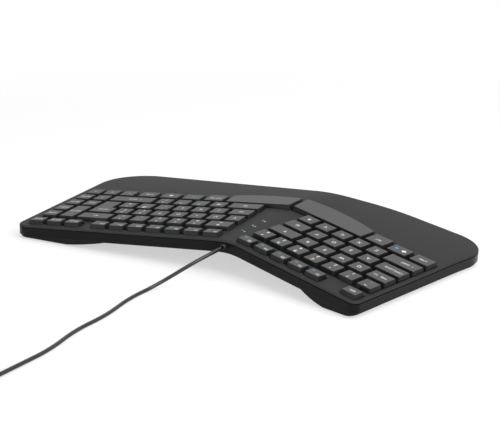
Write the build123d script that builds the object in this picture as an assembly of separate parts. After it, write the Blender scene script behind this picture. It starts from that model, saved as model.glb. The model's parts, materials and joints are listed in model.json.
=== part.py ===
from build123d import *
import math
import os

os.makedirs("parts", exist_ok=True)

# Everything is in millimetres. The keyboard is two mirrored halves that meet on a ridge over the
# middle (X = 0). Each half has its own flat key plane, and a place on it is (a, b, c): a runs from
# the outer end toward the middle, b from the number row toward the user, c up from the key tops.

# How the halves stand
HALF_ORIGIN = 140.588      # from the middle to the outer end of the number row
SPLAY = 9.251              # turn of each half about Z, degrees
TENT = 6.215               # rise of each half toward the middle, degrees
PITCH = 0.146              # rise of each half toward the rear, degrees
LEAN = 0.978               # whole body, so that the wide right end stands higher, degrees
KEY_TOP_HEIGHT = 20.80     # key tops at the left origin above the desk, before the lean

# Levels c below the key tops
DECK = -3.6
DECK_THICK = 1.6
RIM = -5.2                 # lower edge of the top cover
BAND_TOP = -6.0
BAND_BOTTOM = -12.7
FLOOR_TOP = -13.9
FLOOR_BOTTOM = -15.4
PLATE_TOP = -11.4
PLATE_THICK = 0.8
CIRCUIT_THICK = 0.6
DOME_BASE_THICK = 0.6
DOME_TOP = -7.6

# Shell
WALL = 2.4
GROOVE = 1.2               # depth of the shadow grooves over and under the side band
FLOOR_INSET = 1.9
FLOOR_CLEAR = 0.8          # least height of the floor over the desk
EDGE_ROUND = 1.4           # roll of the top cover's outer edge
RIDGE_RADIUS = 150.0       # rounding of the ridge, at the deck
DROP_START = -100.0        # Y where the palm rest starts to roll down
DROP_RADIUS = 750.0

# Plan outline: corner and its radius. The outer corners go with the outer ends of the rows.
CORNERS = [
    ((3.188 - HALF_ORIGIN, 31.4), 7.5),
    ((-0.1, 9.0), 50.0),
    ((HALF_ORIGIN + 72.512, 44.8), 12.0),
    ((HALF_ORIGIN + 104.712, -152.2), 42.0),
    ((-0.1, -163.8), 200.0),
    ((-60.0, -176.6), 150.0),
    ((-28.512 - HALF_ORIGIN, -165.4), 36.0),
]

# Keys
PITCH_KEY = 19.0
CAP_GAP = 4.7              # between the tops of two neighbours
FLARE = 1.05               # how far the base stands out beyond the top, each side
FLARE_DEPTH = 4.3
SKIRT_DEPTH = 6.8
CAP_WALL = 1.2
CAP_ROOF = 1.5
CAP_CORNER = 2.0
CAP_EDGE = 0.35
SLIDE_CLEARANCE = 0.4
PLUNGER = 5.0
PLUNGER_END = -7.3
FUNCTION_ROW_B = -20.8
FUNCTION_DEPTH = 10.4

DOME_FOOT = 10.0
DOME_HEAD = 5.6

LEFT = Pos(-HALF_ORIGIN, 0, 0) * Rot(0, 0, -SPLAY) * Rot(0, -TENT, 0) * Rot(PITCH, 0, 0)
RIGHT = Pos(HALF_ORIGIN, 0, 0) * Rot(0, 0, SPLAY) * Rot(0, TENT, 0) * Rot(PITCH, 0, 0)
STAND = Pos(0, 0, KEY_TOP_HEIGHT) * Rot(0, -LEAN, 0)


def spot(side, a, b, c=0.0):
    """The place of a point (a, b, c) of one half, before the lean."""
    if side == "left":
        return (LEFT * Pos(a, -b, c)).position
    return (RIGHT * Pos(-a, -b, c)).position


def key_plane():
    """Slopes of the left key plane: height at the middle, rise along X, rise along Y."""
    base = spot("left", 0, 0)
    normal = spot("left", 0, 0, 1) - base
    along_x = -normal.X / normal.Z
    along_y = -normal.Y / normal.Z
    height = base.Z - along_x * base.X - along_y * base.Y
    return height, along_x, along_y


RIDGE_HEIGHT, RISE_X, RISE_Y = key_plane()
RIDGE_TURN = math.atan(RISE_Y)
ROOF = math.atan(RISE_X * math.cos(RIDGE_TURN))


def ridge_plane(y):
    """Across the ridge at y: its x runs right and its y runs up."""
    forward = (0, -math.cos(RIDGE_TURN), -math.sin(RIDGE_TURN))
    return Plane(origin=(0, y, RIDGE_HEIGHT + RISE_Y * y), x_dir=(1, 0, 0), z_dir=forward)


def roof_line(c, half_width):
    """The bent line at level c: two slopes and the round between them."""
    centre = (DECK - RIDGE_RADIUS) / math.cos(ROOF)
    radius = RIDGE_RADIUS + c - DECK
    touch_x = radius * math.sin(ROOF)
    touch_y = centre + radius * math.cos(ROOF)
    end_y = c / math.cos(ROOF) - half_width * math.tan(ROOF)
    return [
        Line((-half_width, end_y), (-touch_x, touch_y)),
        ThreePointArc((-touch_x, touch_y), (0, centre + radius), (touch_x, touch_y)),
        Line((touch_x, touch_y), (half_width, end_y)),
    ], end_y


def roof(c_top, c_bottom):
    """The bent sheet between two levels, level along the ridge and rolled down at the front."""
    half_width = 290.0
    upper, upper_end = roof_line(c_top, half_width)
    lower, lower_end = roof_line(c_bottom, half_width)
    sides = [
        Line((-half_width, upper_end), (-half_width, lower_end)),
        Line((half_width, upper_end), (half_width, lower_end)),
    ]
    profile = make_face(upper + lower + sides)
    placed = ridge_plane(DROP_START) * profile
    rear = extrude(placed, amount=-190)
    pivot = (ridge_plane(DROP_START) * Pos(0, -DROP_RADIUS, 0)).position
    front = revolve(placed, axis=Axis(pivot, (1, 0, 0)), revolution_arc=9)
    if front.bounding_box().max.Y > DROP_START + 20:
        front = revolve(placed, axis=Axis(pivot, (-1, 0, 0)), revolution_arc=9)
    return rear + front


def upward(sketch):
    """A flat face whose normal points up, whichever way its edges run."""
    face = sketch.face()
    return -face if face.normal_at().Z < 0 else face


def plan_outline():
    face = make_face(Polyline(*[corner for corner, radius in CORNERS], close=True))
    for corner, radius in CORNERS:
        vertex = face.vertices().sort_by_distance((corner[0], corner[1], 0))[0]
        face = fillet(vertex, radius)
    return face


OUTLINE = plan_outline()


def plan(inset):
    return OUTLINE if inset == 0 else offset(OUTLINE, amount=-inset)


def prism(inset):
    return extrude(Pos(0, 0, -60) * plan(inset), amount=120)


def slab(c_top, c_bottom, inset):
    return roof(c_top, c_bottom) & prism(inset)


def ring(c_top, c_bottom, outer, inner):
    return roof(c_top, c_bottom) & (prism(outer) - prism(inner))


def rim_edges(solid, c, inset):
    """The edges of a slab that run round its outline at level c."""
    border = plan(inset).face().outer_wire()
    found = []
    for edge in solid.edges():
        middle = edge @ 0.5
        level = (middle.Z - RIDGE_HEIGHT - RISE_Y * middle.Y + RISE_X * abs(middle.X)) * math.cos(ROOF)
        drop = max(0.0, DROP_START - middle.Y) ** 2 / 2 / DROP_RADIUS
        if abs(level + drop - c) > 1.3:
            continue
        if border.distance_to(Vertex(middle.X, middle.Y, 0)) < 0.05:
            found.append(edge)
    return found




def middle_a(b):
    """Where the middle of the keyboard lies along a, at one b."""
    origin = spot("left", 0, b)
    step = spot("left", 1, b) - origin
    return -origin.X / step.X


def put(side, shape):
    """A shape drawn at x = a (left) or x = -a (right), y = -b, set in its half."""
    return LEFT * shape if side == "left" else RIGHT * shape


def box_outline(a, b, width, depth, side):
    """The base outline of a plain key, from the centre and size of its top."""
    x = a if side == "left" else -a
    corner_shape = RectangleRounded(width + 2 * FLARE, depth + 2 * FLARE, CAP_CORNER)
    return Pos(x, -b, 0) * corner_shape


def free_outline(edges):
    """The base outline of a key whose top has any other shape, from edges that run anticlockwise."""
    base = offset(make_face(edges), amount=FLARE, kind=Kind.INTERSECTION)
    return fillet(base.vertices(), CAP_CORNER)


def closed(points):
    return Polyline(*points, close=True)


ONE = PITCH_KEY - CAP_GAP


def row(side, b, start, widths, depth=ONE):
    """Key bases side by side from the outer end: each is (outline, plunger point)."""
    keys = []
    a = start
    for width in widths:
        centre = a + width / 2
        outline = box_outline(centre, b, width - CAP_GAP, depth, side)
        keys.append((outline, (centre, b)))
        a += width
    return keys


# Columns and rows
ROW_B = [0.0, 19.0, 38.0, 57.0, 76.0]
NAV_START = -68.1
LEFT_NUMBERS = row("left", ROW_B[0], 0, [PITCH_KEY] * 7)
LEFT_UPPER = row("left", ROW_B[1], 0, [25.2] + [PITCH_KEY] * 4 + [31.8])
LEFT_HOME = row("left", ROW_B[2], 0, [31.0] + [PITCH_KEY] * 4 + [26.0])
LEFT_LOWER = row("left", ROW_B[3], 0, [37.25] + [PITCH_KEY] * 4 + [19.75])
ALT_DEPTH = 17.2           # the Alt keys follow the bow of the space bars
ALT_B = ROW_B[4] + (ALT_DEPTH - ONE) / 2
LEFT_BOTTOM = row("left", ROW_B[4], 0, [23.9] * 2) + row("left", ALT_B, 47.8, [23.9], ALT_DEPTH)
LEFT_FUNCTIONS = row("left", FUNCTION_ROW_B, 0, [PITCH_KEY], FUNCTION_DEPTH)
LEFT_FUNCTIONS += row("left", FUNCTION_ROW_B, 38.5, [PITCH_KEY] * 5, FUNCTION_DEPTH)

RIGHT_NUMBERS = row("right", ROW_B[0], 6.5, [PITCH_KEY] * 5 + [27.7])
RIGHT_UPPER = row("right", ROW_B[1], -2.4, [PITCH_KEY] * 7)
RIGHT_HOME = row("right", ROW_B[2], -8.6, [PITCH_KEY] * 6 + [25.9])
RIGHT_LOWER = row("right", ROW_B[3], 19.8, [PITCH_KEY] * 4 + [35.7])
RIGHT_FUNCTIONS = row("right", FUNCTION_ROW_B, -3.4, [18.8] * 7, FUNCTION_DEPTH)
RIGHT_PRINT = row("right", FUNCTION_ROW_B, -69.5, [PITCH_KEY] * 3, FUNCTION_DEPTH)
HOME = row("right", ROW_B[0], NAV_START, [PITCH_KEY])
BACKSPACE = row("right", ROW_B[0], -30.1, [36.6])
INSERT = row("right", ROW_B[1], NAV_START, [PITCH_KEY])
PAGE_UP_END = row("right", ROW_B[2], NAV_START, [PITCH_KEY] * 2)
PAGE_DOWN_UP = row("right", ROW_B[3], NAV_START, [PITCH_KEY] * 2)
RIGHT_SHIFT = row("right", ROW_B[3], -29.95, [49.4])
ARROWS = row("right", ROW_B[4], NAV_START, [PITCH_KEY] * 3)
RIGHT_CTRL = row("right", ROW_B[4], -9.65, [23.0])
MENU = row("right", ROW_B[4], 14.2, [23.3])
FN = row("right", ROW_B[4], 38.2, [23.4])
ALT_GR = row("right", ALT_B, 61.6, [23.5], ALT_DEPTH)

# Delete is two rows tall
NAV_MIDDLE = NAV_START + 1.5 * PITCH_KEY
DELETE_B = (ROW_B[0] + ROW_B[1]) / 2
DELETE = [(box_outline(NAV_MIDDLE, DELETE_B, ONE, ONE + PITCH_KEY, "right"), (NAV_MIDDLE, DELETE_B))]

# Enter: a wide upper part and a narrow lower part
ENTER_OUTER = -27.0
ENTER_WIDE = -4.75
ENTER_NARROW = -10.7
ENTER_TOP = ROW_B[1] - ONE / 2
ENTER_STEP = ROW_B[1] + ONE / 2
ENTER_END = ROW_B[2] + ONE / 2
ENTER = [(free_outline(closed([
    (-ENTER_WIDE, -ENTER_TOP), (-ENTER_WIDE, -ENTER_STEP), (-ENTER_NARROW, -ENTER_STEP),
    (-ENTER_NARROW, -ENTER_END), (-ENTER_OUTER, -ENTER_END), (-ENTER_OUTER, -ENTER_TOP),
])), (-18.0, DELETE_B + PITCH_KEY))]

# Space bars: a straight rear edge, an end along the middle and a bowed front edge
SPACE_MIDDLE_GAP = 2.4
SPACE_REAR = 68.3


def space_bar(side, outer, front_outer, bow, front_inner):
    """bow is a point (a, b) on the front edge. The edges run anticlockwise."""
    way = 1 if side == "left" else -1
    inner_rear = middle_a(SPACE_REAR) - SPACE_MIDDLE_GAP
    inner_front = middle_a(front_inner) - SPACE_MIDDLE_GAP
    rear_outer_point = (way * outer, -SPACE_REAR)
    rear_inner_point = (way * inner_rear, -SPACE_REAR)
    front_inner_point = (way * inner_front, -front_inner)
    front_outer_point = (way * outer, -front_outer)
    if side == "left":
        corners = [front_outer_point, front_inner_point, rear_inner_point, rear_outer_point]
    else:
        corners = [front_inner_point, front_outer_point, rear_outer_point, rear_inner_point]
    edges = [
        ThreePointArc(corners[0], (way * bow[0], -bow[1]), corners[1]),
        Line(corners[1], corners[2]),
        Line(corners[2], corners[3]),
        Line(corners[3], corners[0]),
    ]
    return [(free_outline(edges), ((outer + inner_rear) / 2, (SPACE_REAR + bow[1]) / 2))]


LEFT_SPACE = space_bar("left", 73.6, 87.8, (118.0, 95.2), 92.5)
RIGHT_SPACE = space_bar("right", 87.4, 88.8, (122.0, 94.0), 91.0)

# Node name: which half, and its keys
KEYS = {
    "escape_key": ("left", LEFT_FUNCTIONS[:1]),
    "f1_to_f5_keys": ("left", LEFT_FUNCTIONS[1:]),
    "left_number_keys": ("left", LEFT_NUMBERS),
    "tab_key": ("left", LEFT_UPPER[:1]),
    "left_upper_letter_keys": ("left", LEFT_UPPER[1:]),
    "caps_lock_key": ("left", LEFT_HOME[:1]),
    "left_home_letter_keys": ("left", LEFT_HOME[1:]),
    "left_shift_key": ("left", LEFT_LOWER[:1]),
    "left_lower_letter_keys": ("left", LEFT_LOWER[1:]),
    "left_ctrl_key": ("left", LEFT_BOTTOM[:1]),
    "left_command_key": ("left", LEFT_BOTTOM[1:2]),
    "left_alt_key": ("left", LEFT_BOTTOM[2:]),
    "left_space_bar": ("left", LEFT_SPACE),
    "f6_to_f12_keys": ("right", RIGHT_FUNCTIONS),
    "print_scroll_pause_keys": ("right", RIGHT_PRINT),
    "right_number_keys": ("right", RIGHT_NUMBERS),
    "backspace_key": ("right", BACKSPACE),
    "delete_key": ("right", DELETE),
    "home_key": ("right", HOME),
    "right_upper_letter_keys": ("right", RIGHT_UPPER),
    "insert_key": ("right", INSERT),
    "enter_key": ("right", ENTER),
    "right_home_letter_keys": ("right", RIGHT_HOME),
    "page_up_key": ("right", PAGE_UP_END[:1]),
    "end_key": ("right", PAGE_UP_END[1:]),
    "right_lower_letter_keys": ("right", RIGHT_LOWER),
    "right_shift_key": ("right", RIGHT_SHIFT),
    "page_down_key": ("right", PAGE_DOWN_UP[:1]),
    "arrow_up_key": ("right", PAGE_DOWN_UP[1:]),
    "right_space_bar": ("right", RIGHT_SPACE),
    "alt_gr_key": ("right", ALT_GR),
    "fn_key": ("right", FN),
    "menu_key": ("right", MENU),
    "right_ctrl_key": ("right", RIGHT_CTRL),
    "arrow_left_key": ("right", ARROWS[2:]),
    "arrow_down_key": ("right", ARROWS[1:2]),
    "arrow_right_key": ("right", ARROWS[:1]),
}

CAP_TAPER = math.degrees(math.atan(FLARE / FLARE_DEPTH))


def cap(side, outline, plunger_at):
    """One hollow keycap with its plunger, in the frame of its half."""
    face = upward(outline)
    flare = extrude(Pos(0, 0, -FLARE_DEPTH) * face, amount=FLARE_DEPTH, taper=CAP_TAPER)
    top_edges = flare.faces().sort_by(Axis.Z)[-1].edges()
    flare = chamfer(top_edges, CAP_EDGE)
    skirt = extrude(Pos(0, 0, -SKIRT_DEPTH) * face, amount=SKIRT_DEPTH - FLARE_DEPTH)
    inner = upward(offset(outline, amount=-CAP_WALL))
    hollow_low = extrude(Pos(0, 0, -SKIRT_DEPTH) * inner, amount=SKIRT_DEPTH - FLARE_DEPTH)
    hollow_height = FLARE_DEPTH - CAP_ROOF
    hollow_high = extrude(Pos(0, 0, -FLARE_DEPTH) * inner, amount=hollow_height, taper=CAP_TAPER)
    a, b = plunger_at
    x = a if side == "left" else -a
    plunger_length = -PLUNGER_END - CAP_ROOF
    plunger = Pos(x, -b, PLUNGER_END + plunger_length / 2) * Box(PLUNGER, PLUNGER, plunger_length)
    return flare + skirt - hollow_low - hollow_high + plunger


def opening(outline):
    """The hole that one key needs in the deck."""
    face = upward(offset(outline, amount=SLIDE_CLEARANCE))
    return extrude(Pos(0, 0, -SKIRT_DEPTH - 0.2) * face, amount=SKIRT_DEPTH)


# Chassis details
SCREW_SHANK = 3.0
SCREW_PASS = 3.4
SCREW_HEAD = 5.6
SCREW_HEAD_THICK = 1.5
COUNTERBORE = 6.4
COUNTERBORE_LEVEL = -13.4
BOSS_WIDTH = 7.0
PAD_WIDTH = 9.0
BOSS_END = -11.4
SCREW_TIP = -7.0
PIN_INTO_DECK = -5.1       # where the bosses start, inside the deck
PIN_INTO_FLOOR = -15.2     # where the pads and posts end, inside the floor
PALM_SCREWS = [("left", 8, 120), ("left", 66, 132), ("left", 126, 126)]
PALM_SCREWS += [("right", 92, 124), ("right", 14, 130), ("right", -62, 118)]
SIDE_SCREWS = [("right", -71.6, 4), ("right", -71.6, 62)]
RIDGE_SCREW = -74.0        # Y of the one on the ridge

FIELD_REAR = -28.7
FIELD_FRONT = 93.0
LEFT_FIELD_START = -1.0
RIGHT_FIELD_START = -66.5
FIELD_MIDDLE_GAP = 9.6
POST_WIDTH = 6.0
PLATE_POSTS = [("left", a, b) for a in (9, 64, 122) for b in (9.5, 66.5)]
PLATE_POSTS += [("right", a, b) for a in (-58, 15, 70, 120) for b in (9.5, 66.5)]

BOARD_SIZE = (14.0, 52.0, 1.6)
BOARD_Y = -34.5
BOARD_POSTS = [(-3.5, -20.0), (3.5, 20.0)]
LAMP_PLACES = [(1.2, -18.7), (1.3, -34.7), (1.3, -50.4)]
LAMP_SIZE = (1.6, 2.0, 0.7)
LENS_WIDTH = 2.4
LENS_COLLAR = 4.4
LENS_COLLAR_THICK = 0.8
CHIP_SIZE = (7.0, 7.0, 1.2)
CHIP_Y = -42.6
SOCKET_SIZE = (9.0, 6.0, 4.2)
SOCKET_Y = -12.0
TAIL_REAR = -24.0
TAIL_FRONT = -31.0
TAIL_END = 3.0
TAIL_LENGTH = 14.0

CABLE_WIDTH = 3.2
CABLE_X = 2.4
CABLE_LEVEL = -9.3
BOOT_WIDTH = 5.0
BOOT_TIP_WIDTH = 4.3
BOOT_REACH = 2.5
BOOT_FLANGE = 7.0
BOOT_FLANGE_THICK = 1.2
WALL_REAR_Y = 9.66         # outer face of the side band at the cable

# Runners under the rear edge: a bowed lens on each half, cut flat for its foot
RUNNER_REAR = -31.0
RUNNER_LENGTH = 34.0
LEFT_RUNNER = (26.0, -21.2, 70.0)      # lowest point a and c, radius
RIGHT_RUNNER = (-34.0, -19.7, 275.0)
RUNNER_CLEAR = 1.2                      # height of its flat over the desk
RUNNER_FOOT = (30.0, 9.0)
NARROW_FOOT = (20.0, 9.0)
LEFT_RUNNER_FOOT = (17.5, -14.0)
RIGHT_RUNNER_FOOT = (-50.0, -14.0)
FRONT_FOOT = (30.0, 9.0)
LEFT_FRONT_FOOT = (21.0, 140.0)
RIGHT_FRONT_FOOT = (-56.0, 134.0)
FOOT_CORNER = 3.0


def on_ridge(y, c):
    """The point of the rounded ridge at level c."""
    height = (DECK - RIDGE_RADIUS) / math.cos(ROOF) + RIDGE_RADIUS + c - DECK
    return (ridge_plane(y) * Pos(0, height, 0)).position


def upright(place, width, low=-60.0, high=60.0):
    """A round post through a plan place, before the lean."""
    return Pos(place.X, place.Y, (low + high) / 2) * Cylinder(width / 2, high - low)


def seat(side, a, b):
    """A place on one half, square to its key plane."""
    return LEFT * Pos(a, -b, 0) if side == "left" else RIGHT * Pos(-a, -b, 0)


SCREWS = [seat(*place) for place in PALM_SCREWS + SIDE_SCREWS]
SCREWS += [Location(on_ridge(RIDGE_SCREW, 0))]


def pins(places, width, top, bottom):
    """Round pins with flat ends between two levels."""
    shape = Cylinder(width / 2, top - bottom)
    return [place * Pos(0, 0, (top + bottom) / 2) * shape for place in places]


def over_desk(height):
    """All the space over one height above the desk, before the lean."""
    room = Pos(0, 0, height + 100) * Box(900, 900, 200)
    return STAND.inverse() * room


def field(side, c_top, thick):
    """A flat sheet under the keys of one half, with its inner end along the ridge."""
    way = 1 if side == "left" else -1
    start = LEFT_FIELD_START if side == "left" else RIGHT_FIELD_START
    inner_rear = middle_a(FIELD_REAR) - FIELD_MIDDLE_GAP
    inner_front = middle_a(FIELD_FRONT) - FIELD_MIDDLE_GAP
    face = upward(make_face(closed([
        (way * start, -FIELD_REAR), (way * inner_rear, -FIELD_REAR),
        (way * inner_front, -FIELD_FRONT), (way * start, -FIELD_FRONT),
    ])))
    return put(side, extrude(Pos(0, 0, c_top - thick) * face, amount=thick)) & prism(WALL + 0.4)


# The hole for the cable in the rear wall
CABLE_Z = on_ridge(WALL_REAR_Y, CABLE_LEVEL).Z
boot_place = Pos(CABLE_X, WALL_REAR_Y, CABLE_Z) * Rot(-90, 0, 0)
boot_hole = boot_place * Cylinder(BOOT_WIDTH / 2, 12)

# Top cover: deck, rim, tongue over the side band, and screw bosses
deck = slab(DECK, RIM, 0)
deck = fillet(rim_edges(deck, DECK, 0), EDGE_ROUND)
deck = deck - (roof(DECK - DECK_THICK, RIM - 5) & prism(WALL))
top_cover = deck + ring(RIM, BAND_TOP, GROOVE, WALL) + pins(SCREWS, BOSS_WIDTH, PIN_INTO_DECK, BOSS_END)
key_holes = [
    put(side, opening(outline)) for side, keys in KEYS.values() for outline, plunger_at in keys
]
lens_holes = [upright(Vector(x, y), LENS_WIDTH) for x, y in LAMP_PLACES]
screw_holes = pins(SCREWS, SCREW_SHANK, SCREW_TIP, -20)
top_cover = top_cover - key_holes - lens_holes - screw_holes - boot_hole

# Side band between the two shadow grooves
side_band = ring(BAND_TOP, BAND_BOTTOM, 0, WALL) + ring(BAND_BOTTOM, FLOOR_TOP, GROOVE + 0.1, WALL)
side_band = side_band - boot_hole

# Strain relief: a flange inside the wall, a neck through it and a short taper outside
neck_inside = -WALL
flange = Pos(0, 0, neck_inside - BOOT_FLANGE_THICK / 2) * Cylinder(BOOT_FLANGE / 2, BOOT_FLANGE_THICK)
neck = Pos(0, 0, neck_inside / 2) * Cylinder(BOOT_WIDTH / 2, WALL)
taper = Pos(0, 0, BOOT_REACH / 2) * Cone(BOOT_WIDTH / 2, BOOT_TIP_WIDTH / 2, BOOT_REACH)
bore = Cylinder(CABLE_WIDTH / 2, 60)
strain_relief = boot_place * (flange + neck + taper - bore)

# Bottom cover: floor, screw pads, posts for the support plates and the board, and the two runners
floor = slab(FLOOR_TOP, FLOOR_BOTTOM, FLOOR_INSET) & over_desk(FLOOR_CLEAR)
clear_of_desk = over_desk(FLOOR_CLEAR)
pads = [pad & clear_of_desk for pad in pins(SCREWS, PAD_WIDTH, BOSS_END, PIN_INTO_FLOOR)]
plate_places = [seat(*place) for place in PLATE_POSTS]
plate_posts = pins(plate_places, POST_WIDTH, PLATE_TOP - PLATE_THICK, PIN_INTO_FLOOR)


def runner(side, lowest_a, lowest_c, radius):
    """The bowed lens under one rear edge."""
    x = lowest_a if side == "left" else -lowest_a
    lens = Pos(x, 0, lowest_c + radius) * Rot(90, 0, 0) * Cylinder(radius, RUNNER_LENGTH)
    lens = Pos(0, -RUNNER_REAR - RUNNER_LENGTH / 2, 0) * lens
    under = Pos(x, 0, FLOOR_BOTTOM + 0.5 - 50) * Box(400, 400, 100)
    return put(side, lens & under) & prism(FLOOR_INSET) & over_desk(RUNNER_CLEAR)


runners = [runner("left", *LEFT_RUNNER), runner("right", *RIGHT_RUNNER)]
board_top = on_ridge(BOARD_Y, PLATE_TOP) - Vector(0, 0, 0.22)
board_place = Pos(0, BOARD_Y, board_top.Z) * Rot(math.degrees(RIDGE_TURN), 0, 0)
board_seats = [board_place * Pos(x, y, 0) for x, y in BOARD_POSTS]
board_posts = pins(board_seats, POST_WIDTH, -BOARD_SIZE[2], -4.0)
bottom_cover = floor + pads + plate_posts + runners + board_posts
pass_holes = pins(SCREWS, SCREW_PASS, -5, -20)
counterbores = pins(SCREWS, COUNTERBORE, COUNTERBORE_LEVEL, -20)
bottom_cover = bottom_cover - pass_holes - counterbores

# Screws, from below
shanks = pins(SCREWS, SCREW_SHANK, SCREW_TIP, COUNTERBORE_LEVEL)
heads = pins(SCREWS, SCREW_HEAD, COUNTERBORE_LEVEL, COUNTERBORE_LEVEL - SCREW_HEAD_THICK)
case_screws = [shank + head for shank, head in zip(shanks, heads)]


def foot(side, centre, size, below):
    """A rubber foot, flat on the desk."""
    x = centre[0] if side == "left" else -centre[0]
    plan_shape = RectangleRounded(size[0], size[1], FOOT_CORNER)
    pad = put(side, extrude(Pos(x, -centre[1], -60) * plan_shape, amount=120))
    return pad & over_desk(0) & below


def under_floor():
    return roof(FLOOR_BOTTOM, FLOOR_BOTTOM - 30)


def under_runner():
    return STAND.inverse() * Pos(0, 0, RUNNER_CLEAR - 50) * Box(900, 900, 100)


rubber_feet = [
    foot("left", LEFT_RUNNER_FOOT, NARROW_FOOT, under_runner()),
    foot("right", RIGHT_RUNNER_FOOT, RUNNER_FOOT, under_runner()),
    foot("left", LEFT_FRONT_FOOT, FRONT_FOOT, under_floor()),
    foot("right", RIGHT_FRONT_FOOT, FRONT_FOOT, under_floor()),
]

# Under the keys: a steel plate, the printed circuit and the rubber domes of each half
CIRCUIT_TOP = PLATE_TOP + CIRCUIT_THICK
DOME_BASE_TOP = CIRCUIT_TOP + DOME_BASE_THICK
support_plates = {side: field(side, PLATE_TOP, PLATE_THICK) for side in ("left", "right")}
tail_band = Pos(0, (TAIL_REAR + TAIL_FRONT) / 2, 0) * Box(60, TAIL_REAR - TAIL_FRONT, 120)


def circuit(side):
    """The printed circuit with its tail over the controller board."""
    way = -1 if side == "left" else 1
    beside = Pos(way * (TAIL_END + TAIL_LENGTH / 2), 0, 0) * Box(TAIL_LENGTH, 300, 120)
    sheet = put(side, Pos(0, 0, CIRCUIT_TOP - CIRCUIT_THICK / 2) * Box(400, 400, CIRCUIT_THICK))
    return field(side, CIRCUIT_TOP, CIRCUIT_THICK) + (sheet & tail_band & beside)


def domes(side):
    """The rubber sheet with one dome under each plunger."""
    height = DOME_TOP - DOME_BASE_TOP
    shapes = []
    for key_side, keys in KEYS.values():
        if key_side != side:
            continue
        for outline, (a, b) in keys:
            x = a if side == "left" else -a
            dome = Cone(DOME_FOOT / 2, DOME_HEAD / 2, height)
            shapes.append(put(side, Pos(x, -b, DOME_BASE_TOP + height / 2) * dome))
    return field(side, DOME_BASE_TOP, DOME_BASE_THICK) + shapes


def posts(width, c_top, c_bottom):
    """A round post at each lamp between two levels of the rounded ridge."""
    sheet = roof(c_top, c_bottom)
    return [sheet & upright(Vector(x, y), width) for x, y in LAMP_PLACES]


# Controller board under the ridge, its parts and the three status lenses
board = board_place * Pos(0, 0, -BOARD_SIZE[2] / 2) * Box(*BOARD_SIZE)


def on_board(x, y, size):
    """A box standing on the board at a plan place."""
    return board_place * Pos(x, y - BOARD_Y, size[2] / 2) * Box(*size)


controller_chip = on_board(0, CHIP_Y, CHIP_SIZE)
cable_socket = on_board(CABLE_X, SOCKET_Y, SOCKET_SIZE)
status_lamps = [on_board(x, y, LAMP_SIZE) for x, y in LAMP_PLACES]
lens_low = PLATE_TOP + LAMP_SIZE[2] + 0.1
lens_pins = posts(LENS_WIDTH, DECK, lens_low)
collar_top = DECK - DECK_THICK
collar_low = collar_top - LENS_COLLAR_THICK
collars = posts(LENS_COLLAR, collar_top, collar_low)
status_lenses = [pin + collar for pin, collar in zip(lens_pins, collars)]


# Cord, in the frame of the desk: out of the boot, down to the desk, along it and into a coil
LEAD_BEND = 22.5                # from the boot to the corner that the first bend cuts
CORD_LIFT = 0.7                 # of the coil over the desk, for the tie under it
COIL_CENTRE = (36.0, 281.0)
COIL_TIGHT = 12.6               # radius of the innermost half turn
COIL_PITCH = 3.7                # between turns and between layers
LAYER_HALVES = [6, 5, 5, 7]     # half turns of each layer, between the climbs
TIE_THICK = 0.6
TIE_WIDTH = 9.0
TIE_INNER = 10.9                # from the coil's centre to the inner side of the band
TIE_ROOM = 0.15
PLUG_BODY = (31.0, 15.0, 7.6)
PLUG_SHELL = (12.0, 4.5)
SHELL_LENGTH = 13.0
SHELL_SHEET = 0.4
TONGUE = (9.5, 10.4, 1.8)

exit_point = (STAND * Pos(CABLE_X, SOCKET_Y + SOCKET_SIZE[1] / 2 + 0.1, CABLE_Z)).position
lead_end = (STAND * Pos(CABLE_X, WALL_REAR_Y + BOOT_REACH + LEAD_BEND, CABLE_Z)).position
HALVES_ACROSS = LAYER_HALVES[0]
COIL_WIDE = COIL_TIGHT + HALVES_ACROSS * COIL_PITCH / 2
coil_low = CORD_LIFT + CABLE_WIDTH / 2
coil_start = Vector(COIL_CENTRE[0] - COIL_WIDE, COIL_CENTRE[1], coil_low)
desk_low = CABLE_WIDTH / 2 + 0.1
ROUTE = [
    exit_point,
    lead_end,
    Vector(30.8, 66.0, desk_low),
    Vector(31.0, 101.0, desk_low),
    Vector(22.5, 138.0, desk_low),
    Vector(22.5, 175.0, desk_low),
    Vector(13.5, 211.0, desk_low),
    Vector(coil_start.X, 246.0, coil_low),
    coil_start,
]


def bend_radii(points):
    """The largest arc that each bend takes with a straight rest left on both sides."""
    radii = []
    for before, at, after in zip(points, points[1:], points[2:]):
        run_in = at - before
        run_out = after - at
        half_turn = math.radians(run_in.get_angle(run_out)) / 2
        shorter = min(run_in.length, run_out.length)
        radii.append(0.45 * shorter / math.tan(half_turn))
    return radii


def tube(path):
    start = Plane(origin=path @ 0, z_dir=path % 0)
    return sweep(start * Circle(CABLE_WIDTH / 2), path=path)


def bent_path(points):
    return FilletPolyline(*points, radius=bend_radii(points))


def coil_edges():
    """Half turns in flat layers; the half turn between two layers climbs on two equal arcs."""
    edges = []
    at = coil_start
    side = -1
    radius = COIL_WIDE
    step = -COIL_PITCH / 2
    for layer, halves in enumerate(LAYER_HALVES):
        for half in range(halves):
            centre = Vector(at.X - side * radius, at.Y, at.Z)
            far = Vector(centre.X - side * radius, at.Y, at.Z)
            top = Vector(centre.X, at.Y - side * radius, at.Z)
            edges.append(ThreePointArc(at, top, far))
            at = far
            side = -side
            radius += step
        if layer == len(LAYER_HALVES) - 1:
            break
        centre = Vector(at.X - side * radius, at.Y, at.Z)
        far = Vector(centre.X - side * radius, at.Y, at.Z + COIL_PITCH)
        reach = math.sqrt(radius ** 2 + COIL_PITCH ** 2 / 4)
        joint = Vector(centre.X, at.Y - side * reach, at.Z + COIL_PITCH / 2)
        first = TangentArc(at, joint, tangent=(0, -side, 0))
        edges.append(first)
        edges.append(TangentArc(joint, far, tangent=first % 1))
        at = far
        side = -side
        step = -step
        radius += step
    return edges, at


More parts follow.
